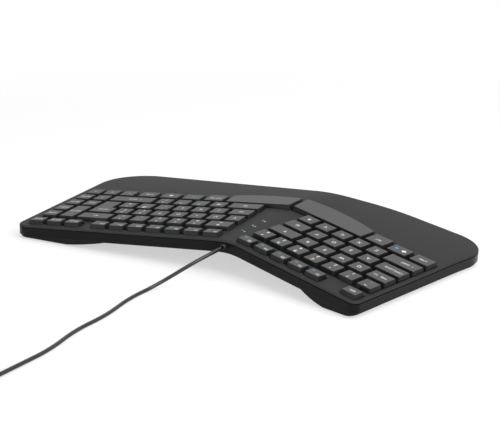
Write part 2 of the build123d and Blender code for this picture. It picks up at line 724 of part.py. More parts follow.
coil_arcs, coil_end = coil_edges()
TAIL_ROUTE = [
    coil_end,
    coil_end + Vector(0, 16, 0),
    coil_end + Vector(7.5, 33, -6.5),
    Vector(coil_end.X + 24.0, coil_end.Y + 46.0, PLUG_BODY[2] / 2),
    Vector(coil_end.X + 40.0, coil_end.Y + 49.0, PLUG_BODY[2] / 2),
]
route_path = bent_path(ROUTE)
tail_path = bent_path(TAIL_ROUTE)
coil_path = Wire(coil_arcs + tail_path.edges())
cable = tube(route_path)
cable_coil = tube(coil_path)

# Tie: a flat band round all turns, on the side that has no climb
tie_low = coil_low - CABLE_WIDTH / 2 - 0.05
tie_high = coil_end.Z + CABLE_WIDTH / 2 + TIE_ROOM
tie_outer = COIL_TIGHT + LAYER_HALVES[-1] * COIL_PITCH / 2 + CABLE_WIDTH / 2 + TIE_ROOM
tie_reach = tie_outer - TIE_INNER
tie_middle = (COIL_CENTRE[0], COIL_CENTRE[1] - (tie_outer + TIE_INNER) / 2, (tie_low + tie_high) / 2)
tie_inside = Box(TIE_WIDTH + 2, tie_reach, tie_high - tie_low)
tie_body = Box(TIE_WIDTH, tie_reach + 2 * TIE_THICK, tie_high - tie_low + 2 * TIE_THICK)
tie_body = fillet(tie_body.edges().filter_by(Axis.X), 1.0)
cable_tie = Pos(*tie_middle) * (tie_body - tie_inside)

# Plug at the end of the tail
plug_way = TAIL_ROUTE[-1] - TAIL_ROUTE[-2]
plug_turn = math.degrees(math.atan2(plug_way.Y, plug_way.X))
plug_place = Pos(TAIL_ROUTE[-1]) * Rot(0, 0, plug_turn)
plug_body = Pos(PLUG_BODY[0] / 2, 0, 0) * Box(*PLUG_BODY)
plug_body = fillet(plug_body.edges().filter_by(Axis.X), 2.0)
plug_body = plug_place * fillet(plug_body.faces().sort_by(Axis.X)[0].edges(), 1.2)
shell_face = RectangleRounded(PLUG_SHELL[1], PLUG_SHELL[0], 0.8)
shell_face -= RectangleRounded(PLUG_SHELL[1] - 2 * SHELL_SHEET, PLUG_SHELL[0] - 2 * SHELL_SHEET, 0.4)
shell_place = plug_place * Pos(PLUG_BODY[0], 0, 0)
plug_shell = shell_place * extrude(Rot(0, 90, 0) * shell_face, amount=SHELL_LENGTH)
tongue_rise = -(PLUG_SHELL[1] / 2 - SHELL_SHEET - TONGUE[2] / 2)
plug_tongue = shell_place * Pos(TONGUE[0] / 2, 0, tongue_rise) * Box(*TONGUE)


def least_gap(path, spacing=1.0, apart=12.0):
    """The least gap of a tube to itself, measured between points of its middle line."""
    count = int(path.length / spacing)
    points = [path @ (i / count) for i in range(count + 1)]
    points = [(p.X, p.Y, p.Z) for p in points]
    skip = int(apart / spacing)
    least = 1e9
    for i, (x, y, z) in enumerate(points):
        for u, v, w in points[i + skip:]:
            far = (x - u) ** 2 + (y - v) ** 2 + (z - w) ** 2
            if far < least:
                least = far
    return math.sqrt(least) - CABLE_WIDTH


# Nodes
BODY = {
    "top_cover": [top_cover],
    "side_band": [side_band],
    "bottom_cover": [bottom_cover],
    "support_plate_left": [support_plates["left"]],
    "support_plate_right": [support_plates["right"]],
    "membrane_left": [circuit("left")],
    "membrane_right": [circuit("right")],
    "dome_sheet_left": [domes("left")],
    "dome_sheet_right": [domes("right")],
    "controller_board": [board],
    "controller_chip": [controller_chip],
    "cable_socket": [cable_socket],
    "status_lamps": status_lamps,
    "status_lenses": status_lenses,
    "case_screws": case_screws,
    "rubber_feet": rubber_feet,
    "strain_relief": [strain_relief],
}
for name, (side, keys) in KEYS.items():
    BODY[name] = [put(side, cap(side, outline, plunger_at)) for outline, plunger_at in keys]
CORD = {
    "cable": cable,
    "cable_coil": cable_coil,
    "cable_tie": cable_tie,
    "plug_body": plug_body,
    "plug_shell": plug_shell,
    "plug_tongue": plug_tongue,
}

standing = {name: [STAND * shape for shape in shapes] for name, shapes in BODY.items()}
outer_box = Compound(children=[
    shape for name in ("top_cover", "side_band", "rubber_feet") for shape in standing[name]
]).bounding_box()
PLACE = Pos(-(outer_box.min.X + outer_box.max.X) / 2, -(outer_box.min.Y + outer_box.max.Y) / 2, 0)
for name, shapes in standing.items():
    placed = [PLACE * shape for shape in shapes]
    solids = [solid for shape in placed for solid in shape.solids()]
    export_step(Compound(children=solids), "parts/" + name + ".step")
for name, shape in CORD.items():
    export_step(PLACE * shape, "parts/" + name + ".step")

print("moved by", PLACE.position, "size", outer_box.size)
print("bend radii", [round(radius, 1) for radius in bend_radii(ROUTE) + bend_radii(TAIL_ROUTE)])
for name, path, shape in (("cable", route_path, cable), ("coil", coil_path, cable_coil)):
    filled = shape.volume / (math.pi * CABLE_WIDTH ** 2 / 4 * path.length)
    print(name, "length", round(path.length, 1), "volume against section x length", round(filled, 4))
print("least gap of the coil to itself", round(least_gap(coil_path), 2))
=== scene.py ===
import json
import math

import bpy
from mathutils import Matrix, Vector


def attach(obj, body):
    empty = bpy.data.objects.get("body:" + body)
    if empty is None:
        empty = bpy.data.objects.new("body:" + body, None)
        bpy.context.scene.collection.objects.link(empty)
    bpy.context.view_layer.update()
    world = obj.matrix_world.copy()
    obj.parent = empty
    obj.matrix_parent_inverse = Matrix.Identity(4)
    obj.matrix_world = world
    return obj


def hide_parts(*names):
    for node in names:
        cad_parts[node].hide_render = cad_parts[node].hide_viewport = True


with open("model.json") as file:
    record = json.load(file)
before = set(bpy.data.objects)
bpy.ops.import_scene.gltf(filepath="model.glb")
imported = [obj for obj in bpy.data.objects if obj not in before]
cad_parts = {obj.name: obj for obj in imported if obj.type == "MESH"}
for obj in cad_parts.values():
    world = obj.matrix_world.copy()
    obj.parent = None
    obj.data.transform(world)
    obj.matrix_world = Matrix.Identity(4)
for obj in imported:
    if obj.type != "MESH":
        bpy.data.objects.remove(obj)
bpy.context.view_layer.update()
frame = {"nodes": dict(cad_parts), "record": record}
nodes = frame["nodes"]
scene = bpy.context.scene
MM = 0.001

# The two halves, as in the solid model (millimetres and degrees)
HALF_ORIGIN = 140.588
SPLAY = 9.251
TENT = 6.215
PITCH = 0.146
LEAN = 0.978
KEY_TOP_HEIGHT = 20.80
MOVED = Vector((-37.6091, 65.9994, 0.0))


def turn(degrees, axis):
    return Matrix.Rotation(math.radians(degrees), 4, axis)


STAND = Matrix.Scale(MM, 4) @ Matrix.Translation(MOVED)
STAND = STAND @ Matrix.Translation((0, 0, KEY_TOP_HEIGHT)) @ turn(-LEAN, "Y")


def half_matrix(side):
    """From a place on one half (x to the user's right, y away from the user, z up) to metres."""
    way = 1 if side == "left" else -1
    half = Matrix.Translation((-way * HALF_ORIGIN, 0, 0))
    return STAND @ half @ turn(-way * SPLAY, "Z") @ turn(-way * TENT, "Y") @ turn(PITCH, "X")


HALF = {"left": half_matrix("left"), "right": half_matrix("right")}

# Camera, in metres in the shared frame
CAMERA_AT = Vector((-0.604566, 0.880207, 0.376649))
CAMERA_LOOKS = Vector((0.53260, -0.78853, -0.30752)).normalized()
CAMERA_UP = Vector((0.18495, -0.24612, 0.95143))
CAMERA_LENS = 89.088
SENSOR_WIDTH = 36.0
CAMERA_CLIP = (0.05, 30.0)


def place_camera():
    data = bpy.data.cameras.new("camera")
    data.sensor_width = SENSOR_WIDTH
    data.lens = CAMERA_LENS
    data.clip_start, data.clip_end = CAMERA_CLIP
    camera = bpy.data.objects.new("camera", data)
    scene.collection.objects.link(camera)
    right = CAMERA_LOOKS.cross(CAMERA_UP).normalized()
    up = right.cross(CAMERA_LOOKS)
    axes = Matrix((right, up, -CAMERA_LOOKS)).transposed()
    camera.matrix_world = Matrix.Translation(CAMERA_AT) @ axes.to_4x4()
    scene.camera = camera


place_camera()
scene.view_settings.view_transform = "Standard"


# Lights: place, size, power and target, in metres and watts
def area_light(name, at, size, power, target=(0.0, 0.0, 0.0)):
    data = bpy.data.lights.new(name, "AREA")
    data.shape = "RECTANGLE"
    data.size, data.size_y = size
    data.energy = power
    light = bpy.data.objects.new(name, data)
    light.location = at
    aim = Vector(target) - Vector(at)
    light.rotation_euler = aim.to_track_quat("-Z", "Y").to_euler()
    scene.collection.objects.link(light)


area_light("overhead", (-0.25, 0.0, 1.6), (1.6, 1.1), 9)
area_light("front_card", (0.5, -1.0, 1.1), (1.2, 0.5), 1.5)
area_light("side_card", (-1.0, 0.1, 0.8), (0.8, 0.8), 9)
area_light("near_card", (-0.66, 0.95, 0.22), (0.3, 0.2), 2.5)
area_light("rear_card", (0.25, 0.95, 0.13), (0.5, 0.22), 2, target=(0.05, 0.05, 0.0))


# Shader nodes
def node_tree(owner):
    owner.use_nodes = True
    owner.node_tree.nodes.clear()
    return owner.node_tree


def add(tree, kind, **values):
    """A shader node with its inputs set by name (an underscore stands for a space)."""
    node = tree.nodes.new(kind)
    for name, value in values.items():
        node.inputs[name.replace("_", " ")].default_value = value
    return node


def maths(tree, operation, *inputs):
    """A math node; an input is a number or the output of another node."""
    node = tree.nodes.new("ShaderNodeMath")
    node.operation = operation
    for socket, value in zip(node.inputs, inputs):
        if isinstance(value, (int, float)):
            socket.default_value = value
        else:
            tree.links.new(value, socket)
    return node.outputs[0]


def blend_shaders(tree, share, first, second):
    """Two shaders mixed; share is how much of the second is taken."""
    mix = tree.nodes.new("ShaderNodeMixShader")
    tree.links.new(share, mix.inputs[0])
    tree.links.new(first.outputs[0], mix.inputs[1])
    tree.links.new(second.outputs[0], mix.inputs[2])
    return mix.outputs[0]


def blend_colors(tree, factor, low, high):
    """A colour mix; low and high are colours or outputs of other nodes."""
    mix = tree.nodes.new("ShaderNodeMix")
    mix.data_type = "RGBA"
    colors = [socket for socket in mix.inputs if socket.type == "RGBA"]
    for socket, value in zip(colors, (low, high)):
        if isinstance(value, tuple):
            socket.default_value = (*value, 1.0)
        else:
            tree.links.new(value, socket)
    tree.links.new(factor, mix.inputs[0])
    return next(socket for socket in mix.outputs if socket.type == "RGBA")


def along(tree, position, row):
    """One coordinate of a half, from a row of its matrix."""
    product = tree.nodes.new("ShaderNodeVectorMath")
    product.operation = "DOT_PRODUCT"
    tree.links.new(position, product.inputs[0])
    product.inputs[1].default_value = row[:3]
    return maths(tree, "ADD", product.outputs["Value"], row[3])


# Surroundings
PLAIN_WHITE = (1.0, 1.0, 1.0, 1.0)
ROOM_LIGHT = 0.55
FLOOR_REACH = 6.0


def make_world():
    """White to the camera and in reflections, and a softer white as light on the object."""
    world = bpy.data.worlds.new("world")
    scene.world = world
    tree = node_tree(world)
    rays = tree.nodes.new("ShaderNodeLightPath").outputs
    seen = maths(tree, "MAXIMUM", rays["Is Camera Ray"], rays["Is Glossy Ray"])
    seen = maths(tree, "MAXIMUM", seen, rays["Is Transmission Ray"])
    soft = add(tree, "ShaderNodeBackground", Color=PLAIN_WHITE, Strength=ROOM_LIGHT)
    white = add(tree, "ShaderNodeBackground", Color=PLAIN_WHITE, Strength=1.0)
    out = tree.nodes.new("ShaderNodeOutputWorld")
    tree.links.new(blend_shaders(tree, seen, soft, white), out.inputs[0])


def make_floor():
    mesh = bpy.data.meshes.new("floor")
    corners = [(x * FLOOR_REACH, y * FLOOR_REACH, 0) for x, y in ((-1, -1), (1, -1), (1, 1), (-1, 1))]
    mesh.from_pydata(corners, [], [(0, 1, 2, 3)])
    made = bpy.data.objects.new("floor", mesh)
    scene.collection.objects.link(made)
    return made


make_world()
floor = make_floor()

# Materials
WEAR = (0.93, 1.07)
KEY_TOP = (0.060, 0.060, 0.061)
# painted shade: the key sides are the tops' plastic, darker only because they face away from the light
KEY_SIDE_PAINTED_SHADE = (0.007, 0.007, 0.0075)
TOP_FACES = (0.86, 0.93)
COVER_COLOR = (0.031, 0.031, 0.0315)
# painted shade: the black of the deck between the keys, where the caps shade it
WEB_PAINTED_SHADE = (0.004, 0.004, 0.0045)
FLOOR_COLOR = (0.97, 0.97, 0.97)
PLAIN_FROM = 0.35
PLAIN_BEYOND = 0.85
PLAIN_NEAR_SHARE = 0.55


def surface(name, color, roughness, grain, bump, vary=0.06, broad_scale=14.0, **more):
    """A base material: fine grain in the surface, and a slight broad unevenness of colour and gloss."""
    material = bpy.data.materials.new(name)
    tree = node_tree(material)
    shader = add(tree, "ShaderNodeBsdfPrincipled", **more)
    coordinates = tree.nodes.new("ShaderNodeTexCoord").outputs["Object"]
    fine = add(tree, "ShaderNodeTexNoise", Scale=grain, Detail=3.0, Roughness=0.6)
    broad = add(tree, "ShaderNodeTexNoise", Scale=broad_scale, Detail=4.0, Roughness=0.55)
    tree.links.new(coordinates, fine.inputs["Vector"])
    tree.links.new(coordinates, broad.inputs["Vector"])
    uneven = add(tree, "ShaderNodeMapRange", To_Min=1 - vary, To_Max=1 + vary)
    tree.links.new(broad.outputs["Fac"], uneven.inputs["Value"])
    tint = tree.nodes.new("ShaderNodeVectorMath")
    tint.operation = "SCALE"
    tint.inputs[0].default_value = color
    tree.links.new(uneven.outputs[0], tint.inputs["Scale"])
    tree.links.new(tint.outputs[0], shader.inputs["Base Color"])
    wear = add(tree, "ShaderNodeMapRange", To_Min=roughness * WEAR[0], To_Max=roughness * WEAR[1])
    tree.links.new(broad.outputs["Fac"], wear.inputs["Value"])
    tree.links.new(wear.outputs[0], shader.inputs["Roughness"])
    rise = add(tree, "ShaderNodeBump", Strength=1.0, Distance=bump * MM)
    tree.links.new(fine.outputs["Fac"], rise.inputs["Height"])
    tree.links.new(rise.outputs[0], shader.inputs["Normal"])
    out = tree.nodes.new("ShaderNodeOutputMaterial")
    tree.links.new(shader.outputs[0], out.inputs[0])
    return material, tree, shader, tint.outputs[0]


def key_material():
    """Soft grey tops, with the sides painted darker as shade, chosen by which way each face points."""
    material, tree, shader, tint = surface(
        "key_plastic", KEY_TOP, roughness=0.45, grain=1500, bump=0.012, vary=0.04,
        Specular_IOR_Level=0.16)
    normal = tree.nodes.new("ShaderNodeNewGeometry").outputs["True Normal"]
    parts = tree.nodes.new("ShaderNodeSeparateXYZ")
    tree.links.new(normal, parts.inputs[0])
    upward = add(tree, "ShaderNodeMapRange", From_Min=TOP_FACES[0], From_Max=TOP_FACES[1])
    tree.links.new(parts.outputs["Z"], upward.inputs["Value"])
    # painted shade: faces that do not point up take the darker side colour
    color = blend_colors(tree, upward.outputs[0], KEY_SIDE_PAINTED_SHADE, tint)
    tree.links.new(color, shader.inputs["Base Color"])
    return material


# Areas with keys, where the deck is painted black as the shade between the caps, in millimetres on each
# half: from and to inward along a row, from and to towards the user
SHADED_KEY_FIELDS = {
    "left": [
        (0.8, 18.2, -25.2, -14.0), (39.5, 133.0, -25.2, -14.0), (0.8, 131.8, -8.5, 9.0),
        (0.8, 131.0, 8.0, 28.0), (0.8, 131.0, 28.0, 47.0), (0.8, 129.5, 47.0, 66.0),
        (0.8, 72.5, 66.0, 84.0), (72.0, 155.0, 66.0, 86.0),
    ],
    "right": [
        (-68.0, -13.5, -26.0, -14.0), (-3.0, 127.0, -26.0, -14.0), (-68.0, 127.0, -8.5, 9.0),
        (-68.0, 128.0, 9.0, 28.0), (-68.0, 128.0, 28.0, 47.0), (-68.0, 124.0, 47.0, 66.0),
        (-68.0, 86.0, 66.0, 84.0), (85.5, 154.0, 66.0, 86.0),
    ],
}


def cover_material():
    """The deck: matt grey, and painted shade: black on the narrow webs between the keys, where the caps
    shade them.
    """
    material, tree, shader, tint = surface(
        "cover_plastic", COVER_COLOR, roughness=0.48, grain=1300, bump=0.018, vary=0.05,
        Specular_IOR_Level=0.035)
    position = tree.nodes.new("ShaderNodeTexCoord").outputs["Object"]
    dark = 0.0
    for side, blocks in SHADED_KEY_FIELDS.items():
        back = HALF[side].inverted()
        way = 1 if side == "left" else -1
        inward = along(tree, position, Vector(back[0]) * way)
        towards = along(tree, position, -Vector(back[1]))
        for low, high, far, near in blocks:
            inside = maths(tree, "MULTIPLY",
                           maths(tree, "COMPARE", inward, (low + high) / 2, (high - low) / 2),
                           maths(tree, "COMPARE", towards, (far + near) / 2, (near - far) / 2))
            dark = maths(tree, "MAXIMUM", dark, inside)
    # painted shade: the deck turns black inside the key areas
    color = blend_colors(tree, dark, tint, WEB_PAINTED_SHADE)
    tree.links.new(color, shader.inputs["Base Color"])
    return material


def floor_material():
    """White; to the camera a share is plain white, so that the shadow is light and the far floor white."""
    material, tree, shader = surface(
        "floor", FLOOR_COLOR, roughness=0.9, grain=60, bump=0.05, vary=0.004, broad_scale=2.0,
        Specular_IOR_Level=0.1)[:3]
    plain = add(tree, "ShaderNodeEmission", Color=PLAIN_WHITE, Strength=1.0)
    to_camera = tree.nodes.new("ShaderNodeLightPath").outputs["Is Camera Ray"]
    distance = tree.nodes.new("ShaderNodeVectorMath")
    distance.operation = "LENGTH"
    tree.links.new(tree.nodes.new("ShaderNodeTexCoord").outputs["Object"], distance.inputs[0])
    away = add(tree, "ShaderNodeMapRange", From_Min=PLAIN_FROM, From_Max=PLAIN_BEYOND,
               To_Min=PLAIN_NEAR_SHARE, To_Max=1.0)
    tree.links.new(distance.outputs["Value"], away.inputs["Value"])
    share = maths(tree, "MULTIPLY", to_camera, away.outputs[0])
    out = next(node for node in tree.nodes if node.type == "OUTPUT_MATERIAL")
    tree.links.new(blend_shaders(tree, share, shader, plain), out.inputs[0])
    return material


# The simple materials: grain is how fine the noise is, bump its height in millimetres
SIMPLE = {
    "band_plastic": dict(color=(0.004, 0.004, 0.0042), roughness=0.26, grain=500, bump=0.004,
                         vary=0.1, Specular_IOR_Level=0.1),
    "base_plastic": dict(color=(0.006, 0.006, 0.0065), roughness=0.45, grain=1000, bump=0.02,
                         vary=0.1, Specular_IOR_Level=0.12),
    "plate_steel": dict(color=(0.55, 0.56, 0.58), roughness=0.35, grain=500, bump=0.01, Metallic=1.0),
    "circuit_film": dict(color=(0.50, 0.53, 0.50), roughness=0.3, grain=400, bump=0.005),
    "dome_rubber": dict(color=(0.70, 0.70, 0.68), roughness=0.6, grain=900, bump=0.02),
    "board_laminate": dict(color=(0.02, 0.17, 0.07), roughness=0.35, grain=900, bump=0.01),
    "chip_plastic": dict(color=(0.02, 0.02, 0.02), roughness=0.45, grain=1400, bump=0.01),
    "socket_plastic": dict(color=(0.75, 0.75, 0.71), roughness=0.4, grain=900, bump=0.01),
    "lamp_resin": dict(color=(0.75, 0.85, 0.55), roughness=0.2, grain=300, bump=0.002),
    "lens_plastic": dict(color=(0.16, 0.17, 0.15), roughness=0.25, grain=300, bump=0.002),
    "screw_steel": dict(color=(0.10, 0.10, 0.11), roughness=0.35, grain=700, bump=0.01, Metallic=1.0),
    "foot_rubber": dict(color=(0.018, 0.018, 0.018), roughness=0.8, grain=700, bump=0.05),
    "boot_rubber": dict(color=(0.018, 0.018, 0.019), roughness=0.5, grain=900, bump=0.02),
    "cable_jacket": dict(color=(0.008, 0.008, 0.008), roughness=0.25, grain=900, bump=0.003),
    "tie_fabric": dict(color=(0.018, 0.018, 0.018), roughness=0.9, grain=1600, bump=0.12),
    "plug_plastic": dict(color=(0.018, 0.018, 0.020), roughness=0.42, grain=1000, bump=0.02),
    "plug_metal": dict(color=(0.72, 0.72, 0.73), roughness=0.24, grain=600, bump=0.004, Metallic=1.0),
    "tongue_plastic": dict(color=(0.75, 0.75, 0.75), roughness=0.4, grain=900, bump=0.01),
    "white_print": dict(color=(0.66, 0.66, 0.64), roughness=0.6, grain=1500, bump=0.005, vary=0.05),
    "blue_print": dict(color=(0.04, 0.27, 0.40), roughness=0.6, grain=1500, bump=0.005, vary=0.05),
}
MATERIALS = {"cover_plastic": cover_material(), "key_plastic": key_material()}
for name, values in SIMPLE.items():
    MATERIALS[name] = surface(name, **values)[0]
floor.data.materials.append(floor_material())

slot_of = {part["node"]: part["material_slot"] for part in frame["record"]["subparts"]}
for name, node in nodes.items():
    node.data.materials.clear()
    node.data.materials.append(MATERIALS[slot_of[name]])

# Cord: the route of the solid model, in millimetres before the move to the shared frame
CABLE_WIDTH = 3.2
COIL_CENTRE = Vector((36.0, 281.0))
COIL_TIGHT = 12.6
COIL_PITCH = 3.7
COIL_LOW = 2.3
LAYER_HALVES = [6, 5, 5, 7]
POINTS_PER_HALF = 8
COIL_WIDE = COIL_TIGHT + LAYER_HALVES[0] * COIL_PITCH / 2
ROUTE = [
    Vector((2.317, -8.9, 25.674)),
    Vector((2.317, 34.66, 25.674)),
    Vector((30.8, 66.0, 1.7)),
    Vector((31.0, 101.0, 1.7)),
    Vector((22.5, 138.0, 1.7)),
    Vector((22.5, 175.0, 1.7)),
    Vector((13.5, 211.0, 1.7)),
    Vector((COIL_CENTRE.x - COIL_WIDE, 246.0, COIL_LOW)),
]
PLUG_HALF_HEIGHT = 3.8


def coil_points():
    """The coil's turns, half by half; between two layers one half turn climbs."""
    points = []
    at = Vector((COIL_CENTRE.x - COIL_WIDE, COIL_CENTRE.y, COIL_LOW))
    side = -1
    radius = COIL_WIDE
    step = -COIL_PITCH / 2
    outward = 1 / math.cos(math.pi / POINTS_PER_HALF / 2)
    for layer, halves in enumerate(LAYER_HALVES):
        last_layer = layer == len(LAYER_HALVES) - 1
        climbs = [0.0] * halves + ([] if last_layer else [COIL_PITCH])
        for climb in climbs:
            middle = at.x - side * radius
            for i in range(POINTS_PER_HALF):
                angle = math.pi * i / POINTS_PER_HALF
                points.append(Vector((
                    middle + side * radius * outward * math.cos(angle),
                    at.y - side * radius * outward * math.sin(angle),
                    at.z + climb * i / POINTS_PER_HALF)))
            at = Vector((middle - side * radius, at.y, at.z + climb))
            side = -side
            if climb:
                step = -step
            radius += step
    return points, at


turns, coil_end = coil_points()
TAIL = [
    coil_end,
    coil_end + Vector((0, 16, 0)),
    coil_end + Vector((7.5, 33, -6.5)),
    Vector((coil_end.x + 24, coil_end.y + 46, PLUG_HALF_HEIGHT)),
    Vector((coil_end.x + 40, coil_end.y + 49, PLUG_HALF_HEIGHT)),
]


def make_cord(points):
    curve = bpy.data.curves.new("cord", "CURVE")
    curve.dimensions = "3D"
    curve.bevel_depth = CABLE_WIDTH / 2 * MM
    curve.bevel_resolution = 5
    curve.resolution_u = 6
    curve.use_fill_caps = True
    spline = curve.splines.new("NURBS")
    spline.points.add(len(points) - 1)
    for control, point in zip(spline.points, points):
        control.co = (*((point + MOVED) * MM), 1.0)
    spline.order_u = 3
    spline.use_endpoint_u = True
    curve.materials.append(MATERIALS["cable_jacket"])
    made = bpy.data.objects.new("cord", curve)
    scene.collection.objects.link(made)
    return made


cord = make_cord(ROUTE + turns + TAIL)
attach(cord, "chassis")
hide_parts("cable", "cable_coil")


# Printed marks, drawn flat: letters from text, symbols from a few polygons about one unit wide
def box_mark(left, low, right, high):
    return [(left, low), (right, low), (right, high), (left, high)]


def ring_mark(x, y, outer, inner, start=0, end=360, steps=16):
    """Pieces of a ring round a point, from one angle to another."""
    pieces = []
    for i in range(steps):
        corners = []
        for fraction, radius in ((i, inner), (i, outer), (i + 1, outer), (i + 1, inner)):
            angle = math.radians(start + (end - start) * fraction / steps)
            corners.append((x + radius * math.cos(angle), y + radius * math.sin(angle)))
        pieces.append(corners)
    return pieces


def ray_marks(inner=0.34, outer=0.5, half_angle=0.12, count=8):
    """Pointed rays round a ring."""
    rays = []
    for i in range(count):
        middle = 2 * math.pi * i / count
        corners = ((inner, middle - half_angle), (outer, middle), (inner, middle + half_angle))
        rays.append([(radius * math.cos(angle), radius * math.sin(angle)) for radius, angle in corners])
    return rays


def arrow_mark(degrees):
    shape = [box_mark(-0.5, -0.06, 0.15, 0.06), [(0.1, -0.28), (0.5, 0.0), (0.1, 0.28)]]
    across = math.cos(math.radians(degrees))
    upward = math.sin(math.radians(degrees))
    return [[(x * across - y * upward, x * upward + y * across) for x, y in part] for part in shape]


SPEAKER = [box_mark(-0.5, -0.15, -0.28, 0.15),
           [(-0.28, -0.15), (0.0, -0.42), (0.0, 0.42), (-0.28, 0.15)]]
NEAR_WAVE = ring_mark(0.02, 0, 0.28, 0.2, -45, 45, 6)
FAR_WAVE = ring_mark(0.02, 0, 0.48, 0.4, -45, 45, 8)
SYMBOLS = {
    "left": arrow_mark(180), "right": arrow_mark(0), "up": arrow_mark(90), "down": arrow_mark(270),
    "tab": [box_mark(-0.62, 0.04, -0.55, 0.46), box_mark(-0.5, 0.21, 0.5, 0.29),
            [(-0.5, 0.25), (-0.3, 0.08), (-0.3, 0.42)],
            box_mark(0.55, -0.46, 0.62, -0.04), box_mark(-0.5, -0.29, 0.5, -0.21),
            [(0.3, -0.42), (0.5, -0.25), (0.3, -0.08)]],
    "diamond": [[(-0.5, 0), (0, -0.5), (0.5, 0), (0, 0.5)]],
    "lock": [box_mark(-0.36, -0.45, 0.36, 0.1), *ring_mark(0, 0.1, 0.27, 0.17, 0, 180, 10)],
    "mute": SPEAKER + [[(0.12, -0.26), (0.2, -0.34), (0.6, 0.26), (0.52, 0.34)]],
    "softer": SPEAKER + NEAR_WAVE,
    "louder": SPEAKER + NEAR_WAVE + FAR_WAVE,
    "previous": [box_mark(-0.5, -0.36, -0.38, 0.36), [(-0.38, 0), (0.0, -0.36), (0.0, 0.36)],
                 [(0.0, 0), (0.4, -0.36), (0.4, 0.36)]],
    "play": [[(-0.5, -0.38), (0.0, 0.0), (-0.5, 0.38)], box_mark(0.1, -0.38, 0.22, 0.38),
             box_mark(0.34, -0.38, 0.46, 0.38)],
    "next": [[(-0.4, -0.36), (0.0, 0), (-0.4, 0.36)], [(0.0, -0.36), (0.38, 0), (0.0, 0.36)],
             box_mark(0.38, -0.36, 0.5, 0.36)],
    "dimmer": ring_mark(0, 0, 0.26, 0.16),
    "brighter": ring_mark(0, 0, 0.26, 0.14) + ray_marks(),
    "find": [*ring_mark(-0.08, 0.08, 0.34, 0.24),
             [(0.12, -0.2), (0.2, -0.12), (0.5, -0.42), (0.42, -0.5)]],
    "mail": [box_mark(-0.5, -0.34, 0.5, -0.26), box_mark(-0.5, 0.26, 0.5, 0.34),
             box_mark(-0.5, -0.26, -0.42, 0.26), box_mark(0.42, -0.26, 0.5, 0.26),
             [(-0.42, 0.26), (0.0, -0.1), (0.42, 0.26), (0.0, 0.02)]],
    "home": [[(-0.5, 0.0), (0.0, -0.02), (0.5, 0.0), (0.0, 0.46)], box_mark(-0.34, -0.42, 0.34, 0.0)],
    "sums": [box_mark(-0.5, 0.2, -0.1, 0.28), box_mark(-0.34, 0.04, -0.26, 0.44),
             box_mark(0.1, 0.2, 0.5, 0.28), box_mark(-0.5, -0.28, -0.1, -0.2),
             box_mark(0.1, -0.18, 0.5, -0.1), box_mark(0.1, -0.38, 0.5, -0.3)],
}

text_data = bpy.data.curves.new("lettering", "FONT")
text_data.resolution_u = 3
text_data.offset = 0.015
text_object = bpy.data.objects.new("lettering", text_data)
scene.collection.objects.link(text_object)
glyphs = {}


def lettering(text):
    """A word as flat polygons in the font's own units, with its left, right, low and high bounds."""
    if text not in glyphs:
        text_data.body = text
        bpy.context.view_layer.update()
        shown = text_object.evaluated_get(bpy.context.evaluated_depsgraph_get())
        mesh = shown.to_mesh()
        points = [(vertex.co.x, vertex.co.y) for vertex in mesh.vertices]
        faces = [tuple(face.vertices) for face in mesh.polygons]
        shown.to_mesh_clear()
        across = [x for x, y in points]
        heights = [y for x, y in points]
        glyphs[text] = (points, faces, (min(across), max(across), min(heights), max(heights)))
    return glyphs[text]


def capital_height():
    points, faces, (left, right, low, high) = lettering("H")
    return high


# Heights of the marks and distances between them, in millimetres
CAPITAL = capital_height()
PRINT_RISE = 0.03
LETTER = 3.5
DIGIT = 3.4
WORD = 2.4
SMALL_WORD = WORD * 0.9
LABEL = 2.5
FUNCTION_SYMBOL = 3.2
ARROW = 3.4
STATUS_LETTER = 2.0
STATUS_ARROW = 2.6
DOUBLE_GAP = 3.7
FUNCTION_ASIDE = 3.4
FUNCTION_ABOVE = 1.6


class Print:
    """Marks of one node, gathered into one flat mesh."""

    def __init__(self):
        self.points = []
        self.faces = []
        self.colors = []

    def put(self, points, faces, placing, blue):
        start = len(self.points)
        self.points += [placing @ Vector((x, y, 0.0)) for x, y in points]
        self.faces += [tuple(start + i for i in face) for face in faces]
        self.colors += [int(blue)] * len(faces)

    def word(self, text, matrix, x, y, height, blue=False):
        """A word with its middle at x, y; height is that of a capital letter."""
        points, faces, (left, right, low, high) = lettering(text)
        middle = Matrix.Translation((-(left + right) / 2, -(low + high) / 2, 0))
        scale = Matrix.Scale(height / CAPITAL, 4)
        placing = matrix @ Matrix.Translation((x, y, PRINT_RISE)) @ scale @ middle
        self.put(points, faces, placing, blue)

    def symbol(self, name, matrix, x, y, size, blue=False):
        placing = matrix @ Matrix.Translation((x, y, PRINT_RISE)) @ Matrix.Scale(size, 4)
        for part in SYMBOLS[name]:
            self.put(part, [tuple(range(len(part)))], placing, blue)

    def finish(self, name, body):
        mesh = bpy.data.meshes.new(name)
        mesh.from_pydata(self.points, [], self.faces)
        mesh.materials.append(MATERIALS["white_print"])
        mesh.materials.append(MATERIALS["blue_print"])
        for polygon, color in zip(mesh.polygons, self.colors):
            polygon.material_index = color
        mesh.update()
        made = bpy.data.objects.new(name, mesh)
        scene.collection.objects.link(made)
        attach(made, body)


